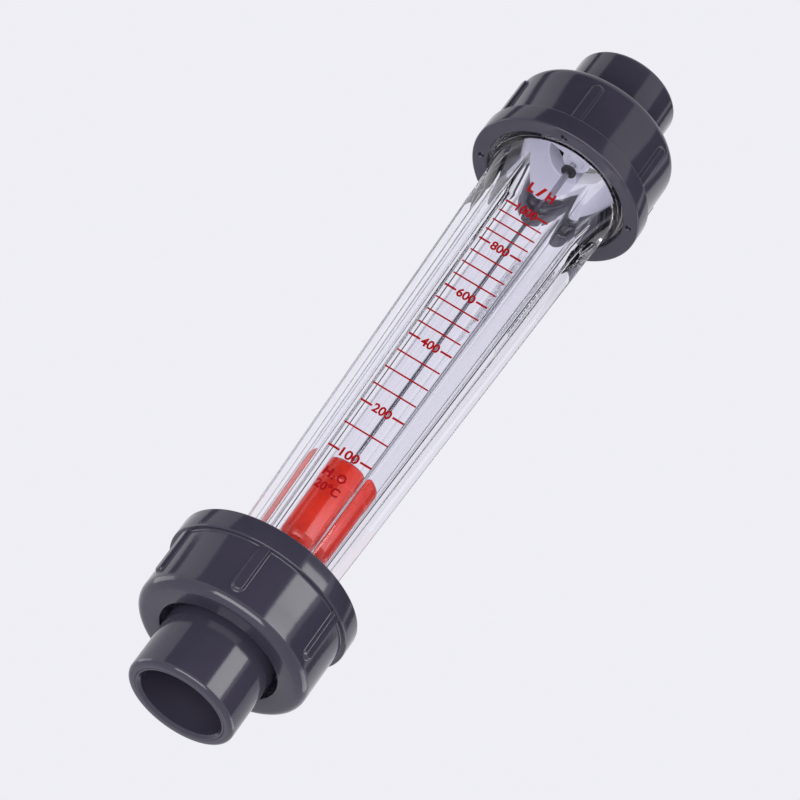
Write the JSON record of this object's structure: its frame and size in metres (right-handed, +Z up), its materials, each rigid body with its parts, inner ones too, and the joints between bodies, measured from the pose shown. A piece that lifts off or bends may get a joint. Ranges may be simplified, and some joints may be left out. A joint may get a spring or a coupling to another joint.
{
  "type": "rotameter",
  "caption": "Plastic tube flow meter: a red float on a guide rod in a clear tapered six-sided tube, between grey union nuts and pipe sockets.",
  "frame": {"origin": "middle of the lower socket's mouth, on the face that the meter stands on", "axes": "+Z up along the flow axis, from inlet to outlet; the scale's facet faces -Y"},
  "size_m": [0.0444, 0.0444, 0.2],
  "materials": {
    "clear_plastic": "clear, polished from the mould",
    "grey_pvc": "satin gloss, moulded",
    "black_rubber": "matt",
    "light_plastic": "smooth, moulded",
    "rod_steel": "drawn and polished",
    "clip_steel": "blackened spring steel",
    "red_plastic": "smooth gloss",
    "label_film": "clear film"
  },
  "bodies": {
    "metering_tube": {"tube": "clear_plastic", "lower_holder": "light_plastic", "upper_holder": "light_plastic", "guide_rod": "rod_steel", "lower_clip": "clip_steel", "upper_clip": "clip_steel", "lower_stop": "black_rubber", "upper_stop": "black_rubber", "back_label": "label_film"},
    "float": {"float_shell": "red_plastic", "float_weight": "rod_steel", "float_plug": "red_plastic"},
    "lower_end": {"lower_connector": "grey_pvc", "lower_o_ring": "black_rubber"},
    "upper_end": {"upper_connector": "grey_pvc", "upper_o_ring": "black_rubber"},
    "lower_union": {"lower_nut": "grey_pvc"},
    "upper_union": {"upper_nut": "grey_pvc"}
  },
  "joints": [
    {"name": "float_rise", "type": "slide", "parent": "metering_tube", "child": "float", "axis": [0, 0, 1], "range_m": [0, 0.1025]},
    {"name": "lower_end_draw", "type": "slide", "parent": "metering_tube", "child": "lower_end", "axis": [0, 0, -1], "range_m": [0, 0.0125]},
    {"name": "lower_nut_turn", "type": "hinge", "parent": "lower_end", "child": "lower_union", "pos_m": [0, 0, 0.026], "axis": [0, 0, -1], "range_deg": [0, 1800]},
    {"name": "upper_end_draw", "type": "slide", "parent": "metering_tube", "child": "upper_end", "axis": [0, 0, 1], "range_m": [0, 0.0125]},
    {"name": "upper_nut_turn", "type": "hinge", "parent": "upper_end", "child": "upper_union", "pos_m": [0, 0, 0.174], "axis": [0, 0, 1], "range_deg": [0, 1800]}
  ],
  "couplings": [
    {"joint": "lower_end_draw", "follows": "lower_nut_turn", "m_per_rad": 0.00039784},
    {"joint": "upper_end_draw", "follows": "upper_nut_turn", "m_per_rad": 0.00039784}
  ]
}
